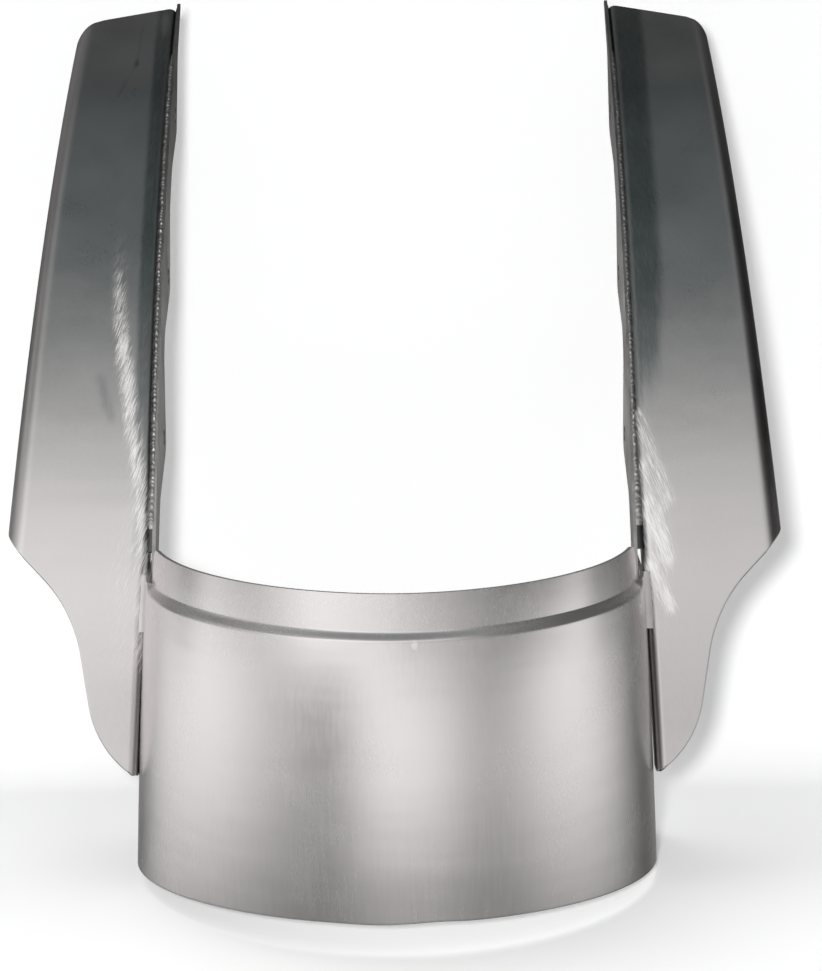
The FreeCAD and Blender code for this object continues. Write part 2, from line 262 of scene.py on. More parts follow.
def shell_spot(angle, run, height, inset):
    """Point of the shell skin.

    Across, the section is a rounded U: x = sin(angle) of the half width, and it reaches back by the share
    (1 - |x|^p)^(1/p) of its depth. Each section lies in a plane that tips forward by a small tilt and is cut
    with a circle about the axle, so the back follows the wheel. run goes straight forward from the U's ends.
    """
    rise = (height - SHELL_LOW) / (SHELL_TOP - SHELL_LOW)
    tilt = np.radians(LOW_TILT + (TOP_TILT - LOW_TILT) * np.minimum(rise, 1.0))
    u = np.sin(angle)
    share = np.maximum(1.0 - np.abs(u) ** POWER, 0.0) ** (1.0 / POWER)
    radius = ARC - DEPTH + (DEPTH - inset) * share
    rear = -np.sqrt(ARC ** 2 - height ** 2)
    along = rear * np.cos(tilt) - height * np.sin(tilt)
    travel = -along - np.sqrt(along ** 2 - (rear ** 2 + height ** 2 - radius ** 2)) + run
    y = rear + travel * np.cos(tilt)
    z = height - travel * np.sin(tilt)
    return np.stack([u * (half_width(z) - inset), y, z], axis=-1)


def lip_angle():
    """Angle of the U at which the lip ends, short of the straight side."""
    share = (1.0 - (LIP_BACK / DEPTH) ** POWER) ** (1.0 / POWER)
    return math.asin(share)


def shell_columns():
    """Angle and forward run of each column, and the columns between which the lip stands."""
    edge = lip_angle()
    corner = np.linspace(edge, QUARTER, CORNER_COLUMNS)[1:]
    middle = np.linspace(-edge, edge, LIP_COLUMNS)
    runs = np.linspace(0.0, SIDE, SIDE_COLUMNS)[1:]
    straight = np.full(len(runs), QUARTER)
    angle = np.concatenate([-straight, -corner[::-1], middle, corner, straight])
    run = np.concatenate([runs[::-1], np.zeros(len(corner) * 2 + len(middle)), runs])
    first = len(runs) + len(corner)
    return angle, run, first, first + len(middle) - 1


def along_lip(angle):
    """1 along the lip, and a smooth step down to 0 over its last stretch."""
    return 1.0 - smooth(np.abs(angle), lip_angle() - LIP_FADE, lip_angle())


def joggle_recess(angle, height):
    """How far the skin has stepped in: a smooth step over the joggle, which fades at the lip's ends."""
    step = smooth(height, JOGGLE_START, JOGGLE_TOP)
    return LIP_RECESS * step * np.where(height > SHELL_TOP, 1.0, along_lip(angle))


def shell_skin(inset, edge_round):
    """Shell skin: heights up the rows and the U across the columns, with the lower front corners rounded off.

    At the lower edge the skin curls in by r - sqrt(r^2 - (r - d)^2), as a deburred edge does.
    """
    angle, run, _, _ = shell_columns()
    low = SHELL_LOW + round_off(SIDE - run, SHELL_CORNER)
    x_low = HALF_WIDTH * np.sin(angle)
    low += sum(lift * bell(x_low, centre, width) for lift, centre, width in LOW_EDGE_WAVES)
    body = np.linspace(BODY_FROM, BAND_FROM, BODY_ROWS)[:-1]
    t = np.concatenate([EDGE_ROWS, body, np.linspace(BAND_FROM, 1.0, BAND_ROWS)])
    height = low + (SHELL_TOP - low) * t[:, None]
    curl = round_off(height - low, edge_round)
    return shell_spot(angle, run, height, joggle_recess(angle, height) + curl + inset)


def lip_skin(inset):
    """Rest of the joggle, then the lip, whose upper corners are rounded off.

    Its first row fades at the lip's ends by the square of the share by which the shell's top row does.
    """
    angle, _, first, last = shell_columns()
    angle = angle[first:last + 1]
    foot = shell_spot(angle, 0.0, np.full_like(angle, LIP_TOP), LIP_RECESS)
    forward = np.max(foot[:, 1]) - foot[:, 1]
    top = np.maximum(LIP_TOP - round_off(forward, LIP_CORNER), JOGGLE_TOP + LIP_LEAST)
    step = SHELL_TOP + (JOGGLE_TOP - SHELL_TOP) * np.linspace(0.0, 1.0, STEP_ROWS)[:, None]
    rise = JOGGLE_TOP + (top - JOGGLE_TOP) * np.linspace(0.0, 1.0, LIP_ROWS)[1:, None]
    height = np.concatenate([np.repeat(step, len(angle), axis=1), rise])
    recess = joggle_recess(angle, height)
    recess = np.where(height > SHELL_TOP, recess, recess * along_lip(angle))
    return shell_spot(angle, 0.0, height, recess + inset)


def centre_shell():
    """Shell, joggle and lip as one sheet, closed by a rim all round."""
    _, _, first, last = shell_columns()
    grids = sheet_grids(shell_skin(0.0, EDGE_ROUND), shell_skin(SHEET, 0.0), (first, last))
    outer = lip_skin(0.0)
    inner = lip_skin(SHEET)
    grids += [outer, inner, np.stack([outer[-1], inner[-1]])]
    grids += [np.stack([outer[:, 0], inner[:, 0]]), np.stack([outer[:, -1], inner[:, -1]])]
    piece = solid_piece("shell_sheet", grids)
    spot = place_of(piece)
    set_map(piece, spot[:, 0], spot[:, 2])
    return piece


# Side panels

def panel_angle(height):
    """Angle on the arc of the panel's face at a height: arc sine of the rise from its centre over r."""
    return np.arcsin((height - PANEL_CENTRE[1]) / PANEL_ARC)


def panel_height(angle):
    """Height on the arc of the panel's face at an angle."""
    return PANEL_CENTRE[1] + PANEL_ARC * np.sin(angle)


def panel_spot(x, depth, angle):
    """Point at a depth below the panel face, at an angle of the arc that the face follows."""
    x, radius, angle = np.broadcast_arrays(x, PANEL_ARC - depth, angle)
    y = PANEL_CENTRE[0] - radius * np.cos(angle)
    z = PANEL_CENTRE[1] + radius * np.sin(angle)
    return np.stack([x, y, z], axis=-1)


def about_arc(piece):
    """Places of a piece, with the angle and the radius of each about the centre of the panel's arc."""
    spot = place_of(piece)
    forward = PANEL_CENTRE[0] - spot[:, 1]
    up = spot[:, 2] - PANEL_CENTRE[1]
    return spot, np.arctan2(up, forward), np.hypot(up, forward)


def inner_edge(height, side):
    """Inner edge of the panel: beside the flange, and beside the shell where that flares past it."""
    return np.maximum(FACE_X, half_width(height) + SEAM_GAPS[side])


def edges_at(angle, side):
    """Inner and outer edge of the panel. The outer one runs on a straight taper."""
    height = panel_height(angle)
    return inner_edge(height, side), EDGE_AT_AXLE - EDGE_TAPER * height


def section(s, inner, outer):
    """Panel section by arc length s from the inner edge: (x, depth, outward x, outward depth).

    Straight turned edge, quarter bend, face, quarter bend of a larger radius, and straight turned edge.
    """
    inner, outer, s = np.broadcast_arrays(inner, outer, s)
    s1 = s - (INNER_RETURN - INNER_BEND)
    s2 = s1 - INNER_BEND * QUARTER
    s3 = s2 - (outer - inner - INNER_BEND - OUTER_BEND)
    s4 = s3 - OUTER_BEND * QUARTER
    a = np.clip(s1 / INNER_BEND, 0.0, QUARTER)
    b = np.clip(s3 / OUTER_BEND, 0.0, QUARTER)
    nx = -np.cos(a) + np.sin(b)
    nd = -np.sin(a) + (1.0 - np.cos(b))
    x = inner + INNER_BEND * (1.0 - np.cos(a)) + np.clip(s2, 0.0, None)
    x = x - np.clip(s3, 0.0, None) + OUTER_BEND * np.sin(b)
    depth = INNER_BEND * (1.0 - np.sin(a)) + np.clip(-s1, 0.0, None)
    depth = depth + OUTER_BEND * (1.0 - np.cos(b)) + np.clip(s4, 0.0, None)
    return x, depth, nx, nd


def lower_line():
    """Lower outline of the panel as points with z rising: straight runs joined by tangent arcs."""
    corners = np.array(LOWER_CORNERS)
    points = [corners[0, :2]]
    t = np.linspace(0.0, 1.0, CORNER_POINTS)[:, None]
    for before, here, after in zip(corners, corners[1:], corners[2:]):
        spot, radius = here[:2], here[2]
        back = before[:2] - spot
        ahead = after[:2] - spot
        back /= np.linalg.norm(back)
        ahead /= np.linalg.norm(ahead)
        half = math.acos(float(np.clip(back @ ahead, -1.0, 1.0))) / 2.0
        middle = (back + ahead) / np.linalg.norm(back + ahead)
        centre = spot + middle * radius / math.sin(half)
        start = spot + back * radius / math.tan(half) - centre
        end = spot + ahead * radius / math.tan(half) - centre
        chord = start * (1.0 - t) + end * t
        points.extend(centre + chord * radius / np.linalg.norm(chord, axis=1)[:, None])
    points.append(corners[-1, :2])
    return np.array(points)


def panel_rows():
    """Angles of the rows: closest about the outer lower corner and at the top edge."""
    ends = [start for start, _ in PANEL_ROWS[1:]] + [PANEL_TOP]
    parts = [np.linspace(start, end, count)[:-1] for (start, count), end in zip(PANEL_ROWS, ends)]
    return panel_angle(np.concatenate(parts + [[PANEL_TOP]]))


def leaned(angle, x):
    """Angle of a row at a distance across: rows turn with the sloping top edge as they near it."""
    share = smooth(angle, panel_angle(LEAN_FROM), panel_angle(PANEL_TOP))
    return angle - share * TOP_SLOPE * (x - FACE_X) / PANEL_ARC


def panel_grid(s, row, side):
    """(x, depth, outward x, outward depth, angle) of the panel at arc length s on leaning rows."""
    angle = np.broadcast_to(row, np.broadcast(s, row).shape)
    for _ in range(LEAN_TRIES):
        x, depth, nx, nd = section(s, *edges_at(angle, side))
        angle = leaned(row, x)
    return x, depth, nx, nd, angle


def span_inside(row, side):
    """First and last arc length of each row that lie inside the lower outline and the rounded top corner."""
    s = np.linspace(0.0, TRACE_REACH, TRACE_STEPS)
    x, depth, _, _, angle = panel_grid(s[None, :], row, side)
    z = PANEL_CENTRE[1] + (PANEL_ARC - depth) * np.sin(angle)
    line = lower_line()
    limit = np.interp(z, line[:, 1], line[:, 0], right=FAR)
    below_top = PANEL_ARC * (panel_angle(PANEL_TOP) - row)
    _, outer = edges_at(angle, side)
    limit = np.minimum(limit, outer + OVERSHOOT - round_off(below_top, TOP_CORNERS[side]))
    turned = OUTER_RETURN - round_off(below_top - TOP_CORNERS[side], OUTER_RETURN - OUTER_BEND)
    inside = (x <= limit) & (depth <= turned)
    first = inside.argmax(axis=1)
    last = len(s) - 1 - inside[:, ::-1].argmax(axis=1)
    return s[first][:, None], s[last][:, None]


def side_panel(name, side):
    """Panel sheet: rows by angle of the arc, columns by arc length across the section, cut at its outline.

    At its outline the outer face curls in by r - sqrt(r^2 - (r - d)^2), as a deburred edge does.
    """
    row = panel_rows()[:, None]
    low, high = span_inside(row, side)
    fold = np.clip(INNER_RETURN - INNER_BEND + INNER_BEND * QUARTER, low, high)
    s = np.concatenate([
        low + (fold - low) * np.linspace(0.0, 1.0, FOLD_COLUMNS)[None, :-1],
        fold + (high - EDGE_ROUND - fold) * np.linspace(0.0, 1.0, FACE_COLUMNS)[None, :],
        high - EDGE_ROUND * np.array([CURL_COLUMNS]),
    ], axis=1)
    x, depth, nx, nd, angle = panel_grid(s, row, side)
    curl = round_off(high - s, EDGE_ROUND)
    outer = panel_spot((x - curl * nx) * side, depth - curl * nd, angle)
    inner = panel_spot((x - SHEET * nx) * side, depth - SHEET * nd, angle)
    piece = solid_piece(name, sheet_grids(outer, inner))
    dress_panel(piece, side)
    return piece


# Marks on the panels. u is the distance across from the inner edge. A straight mark is given by its strength,
# its start and end, each (u, height), and its width. Other pairs are where a change starts and where it ends.

MAP_SPACING = 300.0
# Painted shade on the inner turned edge of a panel: the depths below the face over which it comes in, and how
# far across it reaches.
RETURN_SHADE_DEPTHS = (2.5, 6.0)
RETURN_SHADE_WIDTH = 6.0

# Ground streak of the left panel: grinding marks, made brighter than the bare sheet as a painted highlight.
STREAK = 0.92
STREAK_ROOT = 0.6
STREAK_DRIFT = 16.4
STREAK_DRIFTS = (64.0, 203.0)
STREAK_WIDTH = 2.3
STREAK_SPREAD = 1.2
STREAK_SPREADS = (70.0, 140.0)
STREAK_STARTS = (30.0, 62.0)
STREAK_FADES = (158.0, 218.0)
# Band close beside the inner edge of the left panel, darker higher up: where it fades across, then the share
# and heights of each step of it.
LEFT_BAND = (5.5, 10.5)
LEFT_BAND_HEIGHTS = ((0.35, (60.0, 96.0)), (0.65, (95.0, 150.0)))
LEFT_SMEARS = (
    (0.42, (23.0, 153.0), (18.5, 139.0), 3.4),
    (0.4, (22.5, 261.0), (15.5, 274.0), 1.4),
    (0.35, (15.5, 274.0), (14.6, 288.0), 1.2),
)

# Ground strokes of the right panel: grinding marks, made brighter than the bare sheet as a painted highlight.
RIGHT_STROKES = (
    (0.55, (2.0, 138.0), (12.0, 106.0), 3.2),
    (0.44, (2.0, 118.0), (7.0, 98.0), 3.0),
    (1.0, (4.5, 103.0), (10.5, 85.0), 3.4),
    (1.0, (3.0, 80.0), (9.5, 66.0), 3.2),
)
RIGHT_BAND = (6.0, 18.5)
RIGHT_BAND_WIDENS = (4.0, (150.0, 200.0))
RIGHT_BAND_HEIGHTS = (126.0, 178.0)
# Band close beside the inner edge of the right panel, darker higher up: where it fades across, then the
# heights over which it comes in.
RIGHT_ROOT = (1.5, 5.5)
RIGHT_ROOT_HEIGHTS = (96.0, 128.0)
RIGHT_SMEARS = ((0.22, (26.0, 236.0), (38.0, 247.0), 1.2),)


def straight_marks(u, height, marks):
    """Sum of straight marks, each a bell curve of the distance to its line from start to end."""
    total = 0.0
    for strength, start, end, width in marks:
        run = np.array(end) - np.array(start)
        spot = np.stack([u - start[0], height - start[1]], axis=-1)
        share = np.clip(spot @ run / (run @ run), 0.0, 1.0)
        away = np.linalg.norm(spot - share[:, None] * run, axis=-1)
        total = total + strength * bell(away, 0.0, width)
    return total


def cloud_mark(u, height, strength, across, up):
    """Soft round mark: a bell curve across times one up, each given as (centre, width)."""
    return strength * bell(u, *across) * bell(height, *up)


def left_marks(u, height):
    """Ground streak of the left panel, made brighter as a painted highlight; its dark oily marks, and a band
    close beside the inner edge that is darker higher up.
    """
    centre = STREAK_ROOT + STREAK_DRIFT * smooth(height, *STREAK_DRIFTS)
    width = STREAK_WIDTH + STREAK_SPREAD * smooth(height, *STREAK_SPREADS)
    reach = smooth(height, *STREAK_STARTS) * (1.0 - 0.9 * smooth(height, *STREAK_FADES))
    ground = STREAK * bell(u, centre, width) * reach
    ground += cloud_mark(u, height, 0.34, (9.0, 8.0), (78.0, 34.0))
    darkening = sum(share * smooth(height, *stretch) for share, stretch in LEFT_BAND_HEIGHTS)
    darkening *= 1.0 - smooth(u, *LEFT_BAND)
    darkening *= 1.0 - cloud_mark(u, height, 0.75, (4.5, 2.6), (290.0, 7.0))
    return ground, darkening + straight_marks(u, height, LEFT_SMEARS)


def right_marks(u, height):
    """Ground patches of the right panel, made brighter as a painted highlight; its broad dark oily stain, a
    thin dark mark, and a band close beside the inner edge that is darker above the seam's lower stretch.
    """
    ground = straight_marks(u, height, RIGHT_STROKES)
    ground += cloud_mark(u, height, 0.45, (5.0, 6.5), (84.0, 36.0))
    near, far = RIGHT_BAND
    widens, stretch = RIGHT_BAND_WIDENS
    darkening = 1.0 - smooth(u, near + widens * smooth(height, *stretch), far)
    darkening *= smooth(height, *RIGHT_BAND_HEIGHTS)
    darkening += 0.55 * (1.0 - smooth(u, *RIGHT_ROOT)) * smooth(height, *RIGHT_ROOT_HEIGHTS)
    return ground, darkening + straight_marks(u, height, RIGHT_SMEARS)


def dress_panel(piece, side):
    """Map of the sheet, and where its ground marks, made brighter as a painted highlight, its dark oily
    marks, its darker band beside the inner edge and the painted shade of its inner turned edge lie.
    """
    spot, angle, radius = about_arc(piece)
    height = panel_height(angle)
    u = np.abs(spot[:, 0]) - inner_edge(height, side)
    set_map(piece, u + MAP_SPACING * (side == RIGHT), PANEL_ARC * angle)
    ground, darkening = left_marks(u, height) if side == LEFT else right_marks(u, height)
    # Painted shade: the inner turned edge, deep beside the flange, is marked to be darkened.
    return_shade = smooth(PANEL_ARC - radius, *RETURN_SHADE_DEPTHS) * (u < RETURN_SHADE_WIDTH)
    set_mask(piece, "ground", np.clip(ground * (1.0 - return_shade), 0.0, 1.0))
    set_mask(piece, "darkening", np.clip(darkening, 0.0, 1.0))
    set_mask(piece, "return_shade", return_shade)
    set_mask(piece, "across", u)


# Weld beads

def ripple(along, pitch, seed):
    """Uneven ripple from -1 to 1: a sine whose phase drifts by slower sines."""
    drift = sum(
        size * np.sin(along / length + turn * seed)
        for turn, (size, length) in enumerate(PHASE_DRIFTS, 1)
    )
    return np.sin(2.0 * math.pi * along / pitch + drift)


def bead(name, side, seed, profile, rough, stretch, crown, tip_rise, steps):
    """Weld bead: a raised crown from foot to rim, rippled along its length, and a root between the sheets.

    profile gives (x, depth) of foot and rim and the x of the root, by height. Over the crown, depth falls by
    crown * sin(pi k), k being the share from foot to rim, and at the upper end the foot runs ahead of the rim
    by rise * (1 - k)^2.
    """
    low, high = stretch
    angle = np.linspace(panel_angle(low), panel_angle(high), steps)[:, None]
    along = PANEL_ARC * angle
    height = panel_height(angle)
    k = np.linspace(0.0, 1.0, BEAD_COLUMNS)[None, :]
    arch = np.sin(math.pi * k)
    live = rough(height)
    wave = RIPPLE_LIFT * ripple(along - RIPPLE_BOW * arch, RIPPLE_PITCH, seed)
    wave = 1.0 + live * (wave + LUMP_LIFT * ripple(along, LUMP_PITCH, seed + 1.0))
    sway = WANDER * ripple(along, WANDER_PITCH, seed + 2.0) + TREMBLE * ripple(along, TREMBLE_PITCH, seed)
    (foot_x, foot_depth), (rim_x, rim_depth), root_x = profile(height, side)
    x = foot_x + (rim_x - foot_x) * k + live * sway
    depth = foot_depth + (rim_depth - foot_depth) * k - crown * (0.35 + 0.65 * live) * wave * arch
    root_x = root_x + 0.0 * angle
    root_depth = np.full_like(angle, ROOT_DEPTH)
    x = np.concatenate([x, root_x + ROOT_RIGHT, root_x - ROOT_LEFT, x[:, :1]], axis=1)
    depth = np.concatenate([depth, root_depth, root_depth, depth[:, :1]], axis=1)
    k = np.concatenate([k[0], [1.0, 0.0, 0.0]])[None, :]
    tip = tip_rise * smooth(height, high - TIP_REACH, high) * (1.0 - k) ** 2
    skin = panel_spot(x * side, depth, angle + tip / PANEL_ARC)
    centre = np.repeat(skin[:, :-1].mean(axis=1, keepdims=True), skin.shape[1], axis=1)
    ends = [np.stack([skin[row], centre[row]]) for row in (0, steps - 1)]
    piece = solid_piece(name, [skin] + ends, crease=60.0)
    dress_bead(piece, side, seed, profile, rough)
    return piece


def dress_bead(piece, side, seed, profile, rough):
    """Where the bead takes painted glints, as bright blobs along its crest, and a plain ground face where it
    is flush.
    """
    spot, angle, _ = about_arc(piece)
    height = panel_height(angle)
    (foot_x, _), (rim_x, _), _ = profile(height, side)
    k = (np.abs(spot[:, 0]) - foot_x) / (rim_x - foot_x)
    along = PANEL_ARC * angle
    blobs = ripple(along, RIPPLE_PITCH, seed) + 0.8 * ripple(along, BLOB_PITCH, seed + 1.0)
    live = rough(height)
    set_mask(piece, "crest", live * smooth(blobs, -0.7, 1.1) * bell(k, 0.42, 0.3))
    set_mask(piece, "flush", 1.0 - live)


def seam_rough(height):
    """How rough the seam bead is: 1 along its rough part, and 0 where it is ground flush."""
    low, high = SEAM_ROUGH
    return smooth(height, low - 4.0, low) * (1.0 - smooth(height, high - 3.0, high + 3.0))


def side_rough(height):
    return np.full_like(height, SIDE_ROUGHNESS)


def seam_profile(height, side):
    """From over the rear edge of the flange onto the bend of the panel, wider where it is rough."""
    live = seam_rough(height)
    foot = (FACE_X - 0.05 - 0.5 * live, 0.62)
    rim = (inner_edge(height, side) + 0.4 + 0.65 * live, 1.26)
    return foot, rim, FACE_X + 0.02


def side_profile(height, side):
    """From the shell side onto the bend of the panel, ground nearly flush."""
    foot = (half_width(height) + 0.02, 0.15)
    rim = (inner_edge(height, side) + 2.3, 0.3)
    return foot, rim, half_width(height) + 0.1


def seam_bead(name, side, seed):
    return bead(name, side, seed, seam_profile, seam_rough, SEAM_WELD, SEAM_CROWN, TIP_RISE, SEAM_STEPS)


def side_bead(name, side, seed):
    return bead(name, side, seed, side_profile, side_rough, SIDE_WELD, SIDE_CROWN, 0.0, SIDE_STEPS)


# Shader helpers

class Reading:
    """A number in a node tree, so that a formula of such numbers is written as one: each step adds a node."""

    def __init__(self, tree, socket):
        self.tree = tree
        self.socket = socket

    def __add__(self, other):
        return maths(self.tree, "ADD", self, other)

    def __sub__(self, other):
        return maths(self.tree, "SUBTRACT", self, other)

    def __rsub__(self, other):
        return maths(self.tree, "SUBTRACT", other, self)

    def __mul__(self, other):
        return maths(self.tree, "MULTIPLY", self, other)

    def __rmul__(self, other):
        return maths(self.tree, "MULTIPLY", other, self)


def feed(tree, value, socket):
    """Gives a socket a plain value, or joins it to where the value comes from."""
    if isinstance(value, Reading):
        value = value.socket
    if isinstance(value, bpy.types.NodeSocket):
        tree.links.new(value, socket)
    else:
        socket.default_value = value


def add(tree, kind, feeds=(), **settings):
    """A node with its settings, and its sockets fed from (socket name or number, value)."""
    node = tree.nodes.new(kind)
    for key, value in settings.items():
        setattr(node, key, value)
    for socket, value in feeds:
        feed(tree, value, node.inputs[socket])
    return node


def maths(tree, operation, a, b):
    node = add(tree, "ShaderNodeMath", ((0, a), (1, b)), operation=operation)
    return Reading(tree, node.outputs[0])


def larger(a, b):
    return maths(a.tree, "MAXIMUM", a, b)


def between(value, low, high, to_low=0.0, to_high=1.0):
    """Value mapped by a smooth step from low..high to to_low..to_high."""
    feeds = (("Value", value), ("From Min", low), ("From Max", high), ("To Min", to_low), ("To Max", to_high))
    node = add(value.tree, "ShaderNodeMapRange", feeds, interpolation_type="SMOOTHSTEP")
    return Reading(value.tree, node.outputs[0])


def blend(share, a, b):
    """Number between a and b."""
    node = add(share.tree, "ShaderNodeMix", ((0, share), (2, a), (3, b)), data_type="FLOAT")
    return Reading(share.tree, node.outputs[0])


def tint(tree, share, a, b, mode="MIX"):
    """Colour between a and b."""
    node = add(tree, "ShaderNodeMix", ((0, share), (6, a), (7, b)), data_type="RGBA", blend_type=mode)
    return node.outputs[2]


def axes(tree, vector):
    """The three numbers of a vector."""
    return [Reading(tree, socket) for socket in add(tree, "ShaderNodeSeparateXYZ", ((0, vector),)).outputs]


def noise(tree, vector, scale, detail, rough):
    feeds = (("Vector", vector), ("Scale", scale), ("Detail", detail), ("Roughness", rough))
    return Reading(tree, add(tree, "ShaderNodeTexNoise", feeds).outputs[0])


def stretched(tree, vector, turn, scale):
    """Vector turned about Z, then stretched."""
    feeds = (("Vector", vector), ("Angle", turn))
    spun = add(tree, "ShaderNodeVectorRotate", feeds, rotation_type="Z_AXIS").outputs[0]
    return add(tree, "ShaderNodeVectorMath", ((0, spun), (1, scale)), operation="MULTIPLY").outputs[0]


def object_place(tree):
    return add(tree, "ShaderNodeTexCoord").outputs["Object"]


def mask(tree, name):
    return Reading(tree, add(tree, "ShaderNodeAttribute", attribute_name=name).outputs["Fac"])


# Steel

GRAIN_STRETCH = (70.0, 70.0, 4.0)
GRAIN_TURN = 0.02
GRAIN_SCALE = 12.0
GRAIN_WEIGHT = 0.6
GRIT_SCALE = 760.0
GRIT_WEIGHT = 0.03
FINE_HEIGHT = 0.000009
CLOUD_SCALE = 26.0
SWELL_STRETCH = (11.0, 11.0, 52.0)
SWELL_HEIGHT = 0.00022
HAIR_STRETCH = (230.0, 13.0, 1.0)
LOCK_STRETCH = (24.0, 4.5, 1.0)
STROKE_TURNS = {"ground": -0.3, "darkening": -0.12}
STROKE_HEIGHT = 0.00005
FILM_STRETCH = (13.0, 1.6, 1.0)
FILM_TURN = -0.1
NICK_PLACE = (0.0075, 0.1185)
NICK_STRETCH = (620.0, 420.0)
NICK_DEPTH = 0.00004
PIT_SCALE = 620.0
PIT_HEIGHT = 0.00007

STEEL = (0.66, 0.634, 0.628, 1.0)
# Pale colour of the ground marks: ground steel, made pale enough to serve as a painted highlight.
GROUND_STEEL_AND_HIGHLIGHT = (0.92, 0.895, 0.88, 1.0)
STRIP_STEEL = (0.43, 0.415, 0.4, 1.0)
STRIP_SCALE = (0.27, 0.262, 0.255, 1.0)
# Dark grime of oily marks and flush welds, also used as the painted shade of inner turned edges and the
# painted shadow beside seam beads.
GRIME_AND_SHADE = (0.2, 0.225, 0.225, 1.0)
# Near-black painted shade of an open slit, where a seam bead is ground fully flush.
SLIT_PAINTED_SHADE = (0.1, 0.105, 0.105, 1.0)
WELD_STEEL = (0.4, 0.385, 0.375, 1.0)
# Pale colour of the painted glints on a bead's crest.
WELD_PAINTED_GLINT = (0.95, 0.93, 0.91, 1.0)


def new_group(name, inputs, outputs):
    """Empty shader group. Each input is a number with its resting value, or a vector where that is None."""
    tree = bpy.data.node_groups.new(name, "ShaderNodeTree")
    for label, value in inputs.items():
        kind = "NodeSocketVector" if value is None else "NodeSocketFloat"
        socket = tree.interface.new_socket(label, in_out="INPUT", socket_type=kind)
        if value is not None:
            socket.default_value = value
    for label in outputs:
        tree.interface.new_socket(label, in_out="OUTPUT", socket_type="NodeSocketFloat")
    return tree, tree.nodes.new("NodeGroupInput").outputs, tree.nodes.new("NodeGroupOutput").inputs


def mill_grain_group():
    """Bare sheet as it leaves mill and press: grain lines, cloudy handling marks and a slow waviness."""
    tree, given, out = new_group(
        "mill_grain",
        {"Place": None, "Grain": 1.0, "Clouds": 1.0},
        ("Height", "Rough", "Shade"),
    )
    place = given["Place"]
    lines = noise(tree, stretched(tree, place, GRAIN_TURN, GRAIN_STRETCH), GRAIN_SCALE, 3.0, 0.6)
    grit = noise(tree, place, GRIT_SCALE, 2.0, 0.5)
    cloud = noise(tree, place, CLOUD_SCALE, 4.0, 0.55)
    swell = noise(tree, stretched(tree, place, 0.0, SWELL_STRETCH), 1.0, 2.0, 0.45)
    fine = (lines * GRAIN_WEIGHT + grit * GRIT_WEIGHT) * given["Grain"]
    soft = (cloud - 0.5) * given["Clouds"]
    streak = (lines - 0.5) * 0.1
    feed(tree, fine * FINE_HEIGHT + swell * SWELL_HEIGHT, out["Height"])
    feed(tree, soft * 0.22 + streak, out["Rough"])
    feed(tree, soft * 0.16 + streak, out["Shade"])
    return tree


def hand_strokes_group():
    """Hair-fine strokes of a grinding disc: long thin streaks where a mask is high, feathered at its edge."""
    tree, given, out = new_group(
        "hand_strokes",
        {"Place": None, "Mask": 0.0, "Turn": 0.0},
        ("Stroke", "Height"),
    )
    place = given["Place"]
    turn = given["Turn"]
    hair = noise(tree, stretched(tree, place, turn, HAIR_STRETCH), 1.0, 4.0, 0.62)
    lock = noise(tree, stretched(tree, place, turn, LOCK_STRETCH), 1.0, 2.0, 0.5)
    hair = between(hair, 0.34, 0.66)
    body = Reading(tree, given["Mask"]) * between(lock, 0.3, 0.7, 0.6, 1.0)
    reach = hair + body * 1.25 - 1.0
    stroke = between(reach, -0.4, 0.9) * between(body, 0.0, 0.4)
    feed(tree, stroke, out["Stroke"])
    feed(tree, hair * stroke, out["Height"])
    return tree


GRAIN = mill_grain_group()
STROKES = hand_strokes_group()


def new_material(name):
    """Metal with its node tree and shader."""
    material = bpy.data.materials.new(name)
    material.use_nodes = True
    tree = material.node_tree
    shader = tree.nodes["Principled BSDF"]
    shader.inputs["Metallic"].default_value = 1.0
    return material, tree, shader


def readings_of(tree, group, feeds):
    """Outputs of a shader group placed in a tree, by name."""
    node = add(tree, "ShaderNodeGroup", node_tree=group)
    for label, value in feeds.items():
        feed(tree, value, node.inputs[label])
    return {socket.name: Reading(tree, socket) for socket in node.outputs}


def finish_steel(tree, shader, colour, rough, height):
    bump = add(tree, "ShaderNodeBump", (("Height", height), ("Strength", 1.0), ("Distance", 1.0)))
    feed(tree, colour, shader.inputs["Base Color"])
    feed(tree, rough, shader.inputs["Roughness"])
    feed(tree, bump.outputs[0], shader.inputs["Normal"])


def shaded(tree, colour, shade):
    """Colour made lighter or darker by a share either side of zero."""
    level = shade + 1.0
    grey = add(tree, "ShaderNodeCombineColor", ((0, level), (1, level), (2, level))).outputs[0]
    return tint(tree, 1.0, colour, grey, "MULTIPLY")


def shell_steel():
    """Bare pressed sheet: satin, with grain, cloudy marks, and one small nick under the joggle."""
    material, tree, shader = new_material("pressed_sheet_steel")
    place = object_place(tree)
    grain = readings_of(tree, GRAIN, {"Place": place})
    x, y, z = axes(tree, place)
    across = (x - NICK_PLACE[0]) * NICK_STRETCH[0]
    up = (z - NICK_PLACE[1]) * NICK_STRETCH[1]
    rear = between(y, -0.15, -0.14, 1.0, 0.0)
    nick = between(across * across + up * up, 0.0, 1.0, 1.0, 0.0) * rear
    colour = shaded(tree, STEEL, grain["Shade"])
    colour = tint(tree, nick * 0.4, colour, GROUND_STEEL_AND_HIGHLIGHT)
    shader.inputs["Metallic"].default_value = 0.87
    finish_steel(tree, shader, colour, grain["Rough"] + 0.25, grain["Height"] - nick * NICK_DEPTH)
    return material


